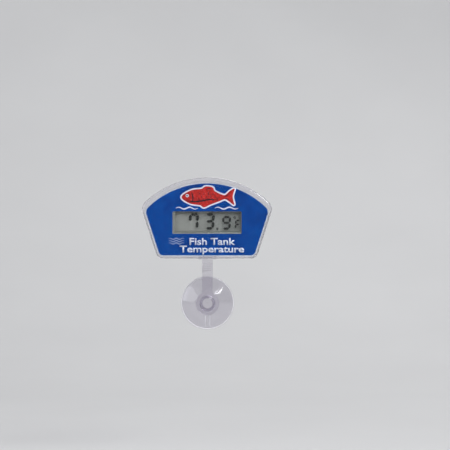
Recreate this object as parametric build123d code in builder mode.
from math import cos, radians, sin, sqrt, tan
import os

from build123d import *

os.makedirs("parts", exist_ok=True)

# Digital aquarium thermometer.
# The tank's glass is the plane Y = 0, the display faces -Y and +Z is up.
# The origin is the centre of the suction cup's rim on the glass.
# Every "depth" below is a distance in front of the glass, so depth 5 is Y = -5.

# ---- driving dimensions, mm -------------------------------------------------
# Case outline, seen from the front
case_foot_z = 21.2        # bottom edge of the case above the cup's centre
case_height = 37.0
case_foot_half = 22.5     # half the width at the bottom edge, before rounding
side_lean = 18.0          # degrees the sides lean outwards
top_radius = 41.2         # arc of the top edge
shoulder_radius = 4.6
foot_radius = 3.6

# Case depth and walls
back_depth = 7.4          # outer face of the case's back
case_thickness = 20.0
back_wall = 1.8
front_wall = 1.4
side_wall = 1.0
top_wall = 2.4
foot_wall = 1.1
edge_radius = 1.0
spigot_height = 1.8
spigot_wall = 1.0

# Display
display_z = 37.6
window_width = 31.5
window_height = 10.2
label_thickness = 0.3
glass_width = 34.0
glass_height = 15.4
glass_thickness = 0.7
film_thickness = 0.2
ledge = 1.7               # contact ledge along the top and bottom of the front glass
segment_thickness = 0.1
segment_width = 1.3       # stroke of the large figures
segment_gap = 0.26        # between the tips of two bars
segment_slant = 0.055     # figures lean right by this much of their height
zebra_height = 2.0
holder_wall = 1.3

# Circuit board
board_width = 37.6
board_height = 24.8
board_thickness = 0.8
post_x = 16.5
post_rise = 10.6          # screw posts above and below the middle of the board
post_radius = 2.0
screw_radius = 0.8
screw_head_radius = 1.5

# Battery chamber and screw cap
cell_radius = 5.8         # an LR44 cell is 11.6 mm across and 5.4 mm high
cell_height = 5.4
chamber_bore = 6.0
chamber_tube_radius = 7.4
skirt_inner_radius = 6.75
skirt_radius = 7.75
skirt_depth = 12.4        # depth of the skirt's end when the cap is home
flange_radius = 9.2
flange_thickness = 1.2
disc_thickness = 1.7
boss_wall = 1.4
thread_lead = 4.0         # two starts
ridge_height = 0.5
ridge_width = 0.8
oring_section = 0.45      # radius of the O-ring's section
coin_slot_width = 1.8
coin_slot_length = 13.0
coin_slot_deep = 0.9

# Hanger arm and the rails it slides into
arm_depth = 5.2           # face of the arm nearest the glass
arm_thickness = 2.0
eye_radius = 5.5
arm_width = 5.0
arm_edge = 0.35           # moulded edge radius
blade_width = 8.0
rib_count = 5
rib_pitch = 0.9
rib_radius = 0.4          # ribs are half round
rib_top_z = 18.4
rail_wall = 1.25
rail_lip = 1.1

# Suction cup
cup_radius = 12.5         # a standard 25 mm cup
cup_lip = 0.5
cup_hollow = 2.2
cup_shoulder = 3.7
hub_radius = 5.5
neck_radius = 2.3
knob_radius = 3.75
knob_thickness = 2.7

# Clearances
loose = 0.2               # between flat faces that slide
running = 0.08            # radial, cup neck in the arm's eye
snug = 0.1                # parts laid into the case
touch = 0.02              # soft and sprung parts beside what they press on
weld_gap = 0.04           # hairline at the welded seam round the case

# ---- sizes that follow ------------------------------------------------------
case_top_z = case_foot_z + case_height
arc_z = case_top_z - top_radius
front_depth = back_depth + case_thickness
seam_depth = back_depth + back_wall
cavity_depth = front_depth - front_wall

label_depth = cavity_depth - snug - label_thickness
film_depth = label_depth - snug - film_thickness
front_glass_depth = film_depth - glass_thickness
segment_depth = front_glass_depth - segment_thickness
rear_glass_depth = segment_depth - glass_thickness
reflector_depth = rear_glass_depth - film_thickness
board_front = front_glass_depth - zebra_height
board_back = board_front - board_thickness

outer_cell_depth = back_depth + disc_thickness + 0.5
inner_cell_depth = outer_cell_depth + cell_height + 0.05
stack_end = inner_cell_depth + cell_height

recess_radius = flange_radius + loose
boss_radius = recess_radius + boss_wall
chamber_z = case_top_z - top_wall - spigot_wall - boss_radius
seat_depth = back_depth + flange_thickness
seat_end = seat_depth + 2 * oring_section + loose
seat_radius = skirt_radius + ridge_height + 0.75
thread_bore = skirt_radius + snug
bore_end = skirt_depth + loose
ridge_deep = skirt_depth - 0.7

arm_end = arm_depth + arm_thickness
blade_top = chamber_z - recess_radius - 2.2   # the rails end clear of the cap
blade_foot = case_foot_z - 0.7


def at(depth):
    """Plane facing the viewer, at a depth in front of the glass."""
    return Plane.XZ.offset(depth)


def case_outline(plane, side, top, foot):
    """The case's front outline, drawn in by a wall at the sides, top and bottom."""
    lean = radians(side_lean)
    start_x = case_foot_half - side * cos(lean)
    start_z = case_foot_z + side * sin(lean)
    foot_z = case_foot_z + foot
    foot_x = start_x + (foot_z - start_z) * tan(lean)
    radius = top_radius - top
    # the leaning side meets the top arc a distance along from its start
    rise = start_z - arc_z
    along = start_x * sin(lean) + rise * cos(lean)
    miss = start_x**2 + rise**2 - radius**2
    run = -along + sqrt(along**2 - miss)
    corner_x = start_x + run * sin(lean)
    corner_z = start_z + run * cos(lean)
    with BuildSketch(plane) as outline:
        with BuildLine():
            Polyline((-corner_x, corner_z), (-foot_x, foot_z), (foot_x, foot_z), (corner_x, corner_z))
            ThreePointArc((corner_x, corner_z), (0, arc_z + radius), (-corner_x, corner_z))
        make_face()
        fillet(outline.vertices().sort_by(Axis.Y)[:2], max(foot_radius - side, 0.5))
        fillet(outline.vertices().sort_by(Axis.Y)[-2:], max(shoulder_radius - side, 0.5))
    return outline.sketch


def thread(deep, height, inner, outer, width, turn):
    """Two helical bars about the chamber's axis, rising towards the glass."""
    middle = (inner + outer) / 2
    centre = (0, -deep, chamber_z)
    with BuildPart() as bar:
        with BuildLine() as path:
            helix = Helix(pitch=thread_lead, height=height, radius=middle, center=centre,
                          direction=(0, 1, 0))
        start = helix @ 0
        outward = Vector(start.X, 0, start.Z - chamber_z)
        with BuildSketch(Plane(origin=start, x_dir=outward, z_dir=helix % 0)):
            Rectangle(outer - inner, width)
        sweep(path=path.line, is_frenet=True)
    axis = Axis((0, 0, chamber_z), (0, 1, 0))
    first = bar.part.rotate(axis, turn)
    return [first, first.rotate(axis, 180)]


# ---- clear case, front half -------------------------------------------------
with BuildPart() as front_case:
    extrude(case_outline(at(seam_depth + weld_gap), 0, 0, 0), amount=front_depth - seam_depth - weld_gap)
    fillet(front_case.faces().sort_by(Axis.Y)[0].edges(), edge_radius)
    cavity = case_outline(at(seam_depth), side_wall, top_wall, foot_wall)
    extrude(cavity, amount=cavity_depth - seam_depth, mode=Mode.SUBTRACT)
front_case.part.label = "front_case"

# ---- clear case, rear half --------------------------------------------------
groove_extra = 0.3
grooves = thread(ridge_deep + groove_extra, ridge_deep + groove_extra - seat_end + 0.6,
                 skirt_radius - 0.1, skirt_radius + ridge_height + 0.15, ridge_width + 0.3,
                 -groove_extra / thread_lead * 360)

post_spots = [(x, display_z + z) for x in (-post_x, post_x) for z in (-post_rise, post_rise)]

with BuildPart() as rear_case:
    # back plate
    extrude(case_outline(at(back_depth), 0, 0, 0), amount=back_wall)
    fillet(rear_case.faces().sort_by(Axis.Y)[-1].edges(), edge_radius)
    # spigot that locates the front half
    spigot = case_outline(at(seam_depth), side_wall + 0.05, top_wall + 0.05, foot_wall + 0.05)
    extrude(spigot, amount=spigot_height)
    wall = spigot_wall + 0.05
    spigot_inside = case_outline(at(seam_depth), side_wall + wall, top_wall + wall, foot_wall + wall)
    extrude(spigot_inside, amount=spigot_height, mode=Mode.SUBTRACT)
    # chamber boss, cell tube and screw posts
    with BuildSketch(at(back_depth + 0.5)):
        with Locations((0, chamber_z)):
            Circle(boss_radius)
    extrude(amount=bore_end + 1.0 - back_depth - 0.5)
    with BuildSketch(at(bore_end)):
        with Locations((0, chamber_z)):
            Circle(chamber_tube_radius)
    extrude(amount=stack_end + 0.1 - bore_end)
    with BuildSketch(at(seam_depth - 0.5)):
        with Locations(*post_spots):
            Circle(post_radius)
    extrude(amount=board_back - touch - seam_depth + 0.5)
    with BuildSketch(at(board_back - 6.0)):
        with Locations(*post_spots):
            Circle(screw_radius + 0.02)
    extrude(amount=6.0, mode=Mode.SUBTRACT)
    # stepped bore: flange recess, O-ring seat, thread bore, cell bore
    steps = [(back_depth, seat_depth, recess_radius), (seat_depth, seat_end, seat_radius),
             (seat_end, bore_end, thread_bore), (bore_end, stack_end + 0.1, chamber_bore)]
    for low, high, radius in steps:
        with BuildSketch(at(low)):
            with Locations((0, chamber_z)):
                Circle(radius)
        extrude(amount=high - low, mode=Mode.SUBTRACT)
    for groove in grooves:
        add(groove, mode=Mode.SUBTRACT)
    # slot beside the cells for the positive contact strip
    with BuildSketch(at(bore_end - 0.1)):
        with Locations((chamber_bore + 0.4, chamber_z)):
            Rectangle(1.2, 3.0)
    extrude(amount=stack_end + 0.3 - bore_end, mode=Mode.SUBTRACT)
    # thin-walled well for the thermistor bead
    with BuildSketch(at(seam_depth - 0.5)):
        with Locations((13.0, case_foot_z + 5.2)):
            Circle(2.3)
    extrude(amount=4.3)
    with BuildSketch(at(seam_depth - 1.2)):
        with Locations((13.0, case_foot_z + 5.2)):
            Circle(1.5)
    extrude(amount=6.0, mode=Mode.SUBTRACT)
    # rails for the hanger arm: side walls, lips and a closed upper end
    rail_out = blade_width / 2 + 0.15 + rail_wall
    rail_low = arm_depth - loose - rail_lip
    with BuildSketch(at(rail_low)):
        with Locations((0, case_foot_z + 0.8)):
            Rectangle(2 * rail_out, blade_top + 1.2 - case_foot_z - 0.8,
                      align=(Align.CENTER, Align.MIN))
    extrude(amount=back_depth - rail_low + 0.3)
    with BuildSketch(at(arm_depth - loose)):
        with Locations((0, case_foot_z)):
            Rectangle(blade_width + 0.3, blade_top + 0.1 - case_foot_z,
                      align=(Align.CENTER, Align.MIN))
    extrude(amount=back_depth - arm_depth + loose, mode=Mode.SUBTRACT)
    with BuildSketch(at(rail_low)):
        with Locations((0, case_foot_z)):
            Rectangle(blade_width - 2.0, blade_top + 0.1 - case_foot_z,
                      align=(Align.CENTER, Align.MIN))
    extrude(amount=rail_lip + 0.1, mode=Mode.SUBTRACT)
rear_case.part.label = "rear_case"

# ---- blue printed face ------------------------------------------------------
with BuildPart() as face_label:
    printed = case_outline(at(label_depth), side_wall + snug, top_wall + snug, foot_wall + snug)
    extrude(printed, amount=label_thickness)
    with BuildSketch(at(label_depth)):
        with Locations((0, display_z)):
            RectangleRounded(window_width, window_height, 0.6)
    extrude(amount=label_thickness, mode=Mode.SUBTRACT)
face_label.part.label = "face_label"


# ---- liquid-crystal display -------------------------------------------------
def pane(depth, width, height, thickness):
    """A flat rectangular pane behind the window."""
    with BuildPart() as sheet:
        with BuildSketch(at(depth)):
            with Locations((0, display_z)):
                Rectangle(width, height)
        extrude(amount=thickness)
    return sheet.part


lip_width = window_width + 0.5
lip_height = window_height + 1.1
lcd_polarizer = pane(film_depth, lip_width - 0.2, lip_height - 0.2, film_thickness)
lcd_polarizer.label = "lcd_polarizer"
lcd_front_glass = pane(front_glass_depth, glass_width, glass_height, glass_thickness)
lcd_front_glass.label = "lcd_front_glass"
lcd_rear_glass = pane(rear_glass_depth, glass_width, glass_height - 2 * ledge, glass_thickness)
lcd_rear_glass.label = "lcd_rear_glass"
lcd_reflector = pane(reflector_depth, glass_width - 1.0, glass_height - 2 * ledge - 0.4, film_thickness)
lcd_reflector.label = "lcd_reflector"

# Seven-segment figures reading 73.9 and the letter F. Each has its lit bars, left and low
# corners from the window's middle, width, height and stroke.
bars = {
    "a": ((0, 2), (1, 2)), "b": ((1, 1), (1, 2)), "c": ((1, 0), (1, 1)), "d": ((0, 0), (1, 0)),
    "e": ((0, 0), (0, 1)), "f": ((0, 1), (0, 2)), "g": ((0, 1), (1, 1)),
}
figures = [
    ("fabc", -8.4, -3.3, 4.6, 7.7, segment_width),
    ("abcdg", -1.1, -3.3, 4.5, 7.7, segment_width),
    ("abcdfg", 6.8, -3.3, 4.1, 6.4, 0.85 * segment_width),
    ("aefg", 12.7, -3.1, 2.6, 4.5, 0.62 * segment_width),
]


def leaning(x, z):
    """A point of a figure, from the window's middle, moved by the figures' slant."""
    return (x + segment_slant * z, display_z + z)


def bar_points(left, low, width, height, stroke, name):
    """The six corners of one bar of a seven-segment figure."""
    (x0, z0), (x1, z1) = bars[name]
    half = (height - stroke) / 2
    middle_x = left + stroke / 2 + (width - stroke) * (x0 + x1) / 2
    middle_z = low + stroke / 2 + half * (z0 + z1) / 2
    upright = x0 == x1
    reach = ((half if upright else width - stroke) - segment_gap) / 2
    tip = stroke / 2 - 0.03
    shape = [(-reach, 0), (tip - reach, tip), (reach - tip, tip), (reach, 0),
             (reach - tip, -tip), (tip - reach, -tip)]
    if upright:
        shape = [(-z, x) for x, z in shape]
    return [leaning(middle_x + x, middle_z + z) for x, z in shape]


with BuildPart() as lcd_segments:
    for lit, left, low, width, height, stroke in figures:
        for name in lit:
            with BuildSketch(at(segment_depth + touch)):
                Polygon(*bar_points(left, low, width, height, stroke, name), align=None)
            extrude(amount=segment_thickness - 2 * touch)
    # decimal point and degree ring
    with BuildSketch(at(segment_depth + touch)):
        with Locations(leaning(4.85, -2.8)):
            Rectangle(1.05, 1.05)
        with Locations(leaning(12.55, 2.3)):
            Circle(0.6)
            Circle(0.28, mode=Mode.SUBTRACT)
    extrude(amount=segment_thickness - 2 * touch)
lcd_segments.part.label = "lcd_segments"

with BuildPart() as lcd_holder:
    holder_front = label_depth - 0.05
    with BuildSketch(at(board_front)):
        with Locations((0, display_z)):
            RectangleRounded(glass_width + 0.2 + 2 * holder_wall, glass_height + 0.2 + 2 * holder_wall, 1.0)
    extrude(amount=holder_front - board_front)
    with BuildSketch(at(board_front)):
        with Locations((0, display_z)):
            Rectangle(glass_width + 0.2, glass_height + 0.2)
    extrude(amount=film_depth - board_front, mode=Mode.SUBTRACT)
    with BuildSketch(at(film_depth)):
        with Locations((0, display_z)):
            Rectangle(lip_width, lip_height)
    extrude(amount=holder_front - film_depth, mode=Mode.SUBTRACT)
lcd_holder.part.label = "lcd_holder"

with BuildPart() as zebra_strips:
    with BuildSketch(at(board_front + touch)):
        for side in (-1, 1):
            with Locations((0, display_z + side * (glass_height / 2 - ledge / 2))):
                Rectangle(glass_width - 3.0, ledge - 0.3)
    extrude(amount=zebra_height - 2 * touch)
zebra_strips.part.label = "zebra_strips"

# ---- circuit board and what is soldered to it -------------------------------
with BuildPart() as circuit_board:
    with BuildSketch(at(board_back)):
        with Locations((0, display_z)):
            RectangleRounded(board_width, board_height, 1.2)
        with Locations(*post_spots):
            Circle(screw_radius + 0.15, mode=Mode.SUBTRACT)
    extrude(amount=board_thickness)
circuit_board.part.label = "circuit_board"

with BuildPart() as board_screws:
    with BuildSketch(at(board_back - 5.0)):
        with Locations(*post_spots):
            Circle(screw_radius)
    extrude(amount=5.0 + board_thickness)
    with BuildSketch(at(board_front)):
        with Locations(*post_spots):
            Circle(screw_head_radius)
    extrude(amount=1.0)
    fillet(board_screws.faces().sort_by(Axis.Y)[:4].edges(), 0.4)
    with BuildSketch(at(board_front + 0.5)):
        with Locations(*post_spots):
            Rectangle(1.6, 0.35)
            Rectangle(0.35, 1.6)
    extrude(amount=1.0, mode=Mode.SUBTRACT)
board_screws.part.label = "board_screws"

with BuildPart() as chip_blob:
    with BuildSketch(at(board_back - 1.3)):
        with Locations((-12.5, display_z - 5.2)):
            Circle(3.2)
    extrude(amount=1.3)
    fillet(chip_blob.faces().sort_by(Axis.Y)[-1].edges(), 1.2)
chip_blob.part.label = "chip_blob"

with BuildPart() as crystal_can:
    with BuildSketch(Plane.YZ.offset(9.0)):
        with Locations((-board_back + 1.05, display_z - 7.0)):
            Circle(1.0)
    extrude(amount=6.0)
    fillet(crystal_can.faces().sort_by(Axis.X)[0].edges(), 0.3)
crystal_can.part.label = "crystal_can"


def chips(spots, length, width, thickness):
    """Small soldered chips on the back of the board."""
    with BuildPart() as row:
        with BuildSketch(at(board_back - thickness)):
            with Locations(*spots):
                Rectangle(length, width)
        extrude(amount=thickness)
    return row.part


resistor_spots = [(-5.0 + 2.4 * i, display_z - 9.4) for i in range(4)]
capacitor_spots = [(-14.5 + 2.6 * i, display_z + 2.0) for i in range(2)] + [(14.5, display_z - 1.5)]
chip_resistors = chips(resistor_spots, 1.6, 0.8, 0.45)
chip_resistors.label = "chip_resistors"
chip_capacitors = chips(capacitor_spots, 1.25, 2.0, 0.9)
chip_capacitors.label = "chip_capacitors"

well_x = 13.0
well_z = case_foot_z + 5.2
bead_depth = seam_depth + 0.4
with BuildPart() as thermistor_bead:
    with Locations((well_x, -bead_depth, well_z)):
        Sphere(1.25)
thermistor_bead.part.label = "thermistor_bead"

with BuildPart() as thermistor_leads:
    with BuildSketch(at(bead_depth + 1.1)):
        with Locations((well_x - 0.45, well_z), (well_x + 0.45, well_z)):
            Circle(0.2)
    extrude(amount=board_back - bead_depth - 1.1)
    with Locations((well_x, -bead_depth, well_z)):
        Sphere(1.25 + touch, mode=Mode.SUBTRACT)
thermistor_leads.part.label = "thermistor_leads"

# ---- battery contacts -------------------------------------------------------
strip = 0.25
with BuildPart() as negative_contact:
    # foot on the board, then a leaf that bows towards the inner cell
    with BuildSketch(Plane.XY.offset(chamber_z - 1.5)):
        with BuildLine():
            Polyline((-5.0, -board_back), (-2.4, -board_back), (0.0, -stack_end - touch - strip),
                     (2.2, -stack_end - touch - 0.75 - strip), (2.2, -stack_end - touch - 0.75),
                     (0.0, -stack_end - touch), (-2.6, -board_back + strip), (-5.0, -board_back + strip),
                     close=True)
        make_face()
    extrude(amount=3.0)
negative_contact.part.label = "negative_contact"

with BuildPart() as positive_contact:
    # foot on the board, then a strip down beside the cells with a bend that bears on the outer can
    with BuildSketch(Plane.XY.offset(chamber_z - 1.2)):
        with BuildLine():
            inner_x = chamber_bore + 0.2
            bear = cell_radius + touch
            Polyline((9.6, -board_back), (inner_x, -board_back), (inner_x, -bore_end),
                     (bear, -outer_cell_depth - 1.8), (inner_x - 0.1, -outer_cell_depth - 0.8),
                     (inner_x + 0.1, -outer_cell_depth - 0.8), (bear + 0.22, -outer_cell_depth - 1.8),
                     (inner_x + 0.2, -bore_end + 0.1), (inner_x + 0.2, -board_back + strip),
                     (9.6, -board_back + strip), close=True)
        make_face()
    extrude(amount=2.4)
positive_contact.part.label = "positive_contact"


# ---- button cells -----------------------------------------------------------
def button_cell(name, depth):
    """One LR44 cell: steel can (+) towards the cap, nylon gasket, and the smaller steel cap (-)."""
    crimp = 0.3
    with BuildPart() as can:
        with BuildSketch(at(depth)):
            with Locations((0, chamber_z)):
                Circle(cell_radius)
        extrude(amount=cell_height - crimp)
        fillet(can.faces().sort_by(Axis.Y)[-1].edges(), 0.5)
        fillet(can.faces().sort_by(Axis.Y)[0].edges(), 0.4)
        with BuildSketch(at(depth + 0.4)):
            with Locations((0, chamber_z)):
                Circle(cell_radius - 0.35)
        extrude(amount=cell_height, mode=Mode.SUBTRACT)
        with BuildSketch(at(depth)):
            with Locations((0, chamber_z)):
                Rectangle(3.2, 0.55)
                Rectangle(0.55, 3.2)
        extrude(amount=0.08, mode=Mode.SUBTRACT)
    can.part.label = name + "_can"
    with BuildPart() as gasket:
        with BuildSketch(at(depth + 0.4)):
            with Locations((0, chamber_z)):
                Circle(cell_radius - 0.35)
                Circle(cell_radius - 0.7, mode=Mode.SUBTRACT)
        extrude(amount=cell_height - crimp - 0.5)
    gasket.part.label = name + "_gasket"
    with BuildPart() as cap:
        with BuildSketch(at(depth + 0.4)):
            with Locations((0, chamber_z)):
                Circle(cell_radius - 0.7)
        extrude(amount=cell_height - 0.4)
        fillet(cap.faces().sort_by(Axis.Y)[0].edges(), 0.4)
    cap.part.label = name + "_cap"
    return [can.part, gasket.part, cap.part]


cells = button_cell("inner_cell", inner_cell_depth) + button_cell("outer_cell", outer_cell_depth)

# ---- battery cap and its O-ring ---------------------------------------------
ridges = thread(ridge_deep, 1.3, skirt_radius - 0.15, skirt_radius + ridge_height, ridge_width, 0)

with BuildPart() as battery_cap:
    with BuildSketch(at(back_depth)):
        with Locations((0, chamber_z)):
            Circle(flange_radius)
    extrude(amount=flange_thickness)
    fillet(battery_cap.faces().sort_by(Axis.Y)[-1].edges(), 0.35)
    with BuildSketch(at(seat_depth - 0.2)):
        with Locations((0, chamber_z)):
            Circle(skirt_radius)
    extrude(amount=skirt_depth - seat_depth + 0.2)
    with BuildSketch(at(back_depth + disc_thickness)):
        with Locations((0, chamber_z)):
            Circle(skirt_inner_radius)
    extrude(amount=skirt_depth - back_depth - disc_thickness, mode=Mode.SUBTRACT)
    with BuildSketch(at(back_depth + disc_thickness)):
        with Locations((0, chamber_z)):
            Circle(3.0)
    extrude(amount=0.4)
    for ridge in ridges:
        add(ridge)
    with BuildSketch(at(back_depth)):
        with Locations((0, chamber_z)):
            SlotOverall(coin_slot_length, coin_slot_width)
    extrude(amount=coin_slot_deep, mode=Mode.SUBTRACT)
battery_cap.part.label = "battery_cap"

with BuildPart() as cap_oring:
    middle = (skirt_radius + seat_radius) / 2
    with BuildSketch(Plane.XY.offset(chamber_z)):
        with Locations((middle, -(seat_depth + seat_end) / 2)):
            Circle(oring_section)
    revolve(axis=Axis((0, 0, chamber_z), (0, 1, 0)))
cap_oring.part.label = "cap_oring"

# ---- hanger arm -------------------------------------------------------------
with BuildPart() as hanger_arm:
    with BuildSketch(at(arm_depth)):
        Circle(eye_radius)
        with Locations((0, 0)):
            Rectangle(arm_width, blade_top - 2.0, align=(Align.CENTER, Align.MIN))
        with Locations((0, blade_foot)):
            Rectangle(blade_width, blade_top - blade_foot, align=(Align.CENTER, Align.MIN))
        Circle(neck_radius + running, mode=Mode.SUBTRACT)
    extrude(amount=arm_thickness)
    fillet(hanger_arm.edges().filter_by(Axis.Y).group_by(Axis.Z)[-1], 1.0)
    outer_wires = [face.outer_wire() for face in hanger_arm.faces().filter_by(Axis.Y)]
    fillet([edge for wire in outer_wires for edge in wire.edges()], arm_edge)
    # finger ribs on both faces of the neck
    for i in range(rib_count):
        with BuildSketch(Plane.YZ.offset(-arm_width / 2)):
            with Locations((-arm_depth, rib_top_z - i * rib_pitch), (-arm_end, rib_top_z - i * rib_pitch)):
                Circle(rib_radius)
        extrude(amount=arm_width)
hanger_arm.part.label = "hanger_arm"

# ---- suction cup ------------------------------------------------------------
with BuildPart() as suction_cup:
    knob_depth = arm_end + loose
    top = knob_depth + knob_thickness
    hub_top = arm_depth - loose
    rim_inner = cup_radius - 0.75
    hollow_curve = (rim_inner**2 + cup_hollow**2) / (2 * cup_hollow)
    half_in = rim_inner / 2
    half_deep = cup_hollow - hollow_curve + sqrt(hollow_curve**2 - half_in**2)
    with BuildSketch(Plane.XY):
        with BuildLine():
            Polyline((0, -cup_hollow), (0, -top), (knob_radius, -top), (knob_radius, -knob_depth),
                     (neck_radius, -knob_depth), (neck_radius, -hub_top), (hub_radius, -hub_top),
                     (hub_radius, -cup_shoulder))
            ThreePointArc((hub_radius, -cup_shoulder), (8.9, -1.85), (cup_radius, -cup_lip))
            Polyline((cup_radius, -cup_lip), (cup_radius, 0), (rim_inner, 0))
            ThreePointArc((rim_inner, 0), (half_in, -half_deep), (0, -cup_hollow))
        make_face()
    revolve(axis=Axis.Y)
    rims = suction_cup.edges().filter_by(GeomType.CIRCLE)
    fillet(rims.sort_by(Axis.Y)[0], 1.4)
    rims = suction_cup.edges().filter_by(GeomType.CIRCLE)
    fillet(rims.filter_by(lambda e: abs(e.radius - hub_radius) < 0.01).sort_by(Axis.Y)[0], 0.5)
suction_cup.part.label = "suction_cup"

# ---- export -----------------------------------------------------------------
pieces = [
    front_case.part, rear_case.part, face_label.part, lcd_polarizer, lcd_front_glass,
    lcd_segments.part, lcd_rear_glass, lcd_reflector, lcd_holder.part, zebra_strips.part,
    circuit_board.part, board_screws.part, chip_blob.part, crystal_can.part, chip_resistors,
    chip_capacitors, thermistor_bead.part, thermistor_leads.part, negative_contact.part,
    positive_contact.part, battery_cap.part, cap_oring.part, hanger_arm.part, suction_cup.part,
] + cells
for piece in pieces:
    export_step(piece, "parts/" + piece.label + ".step")
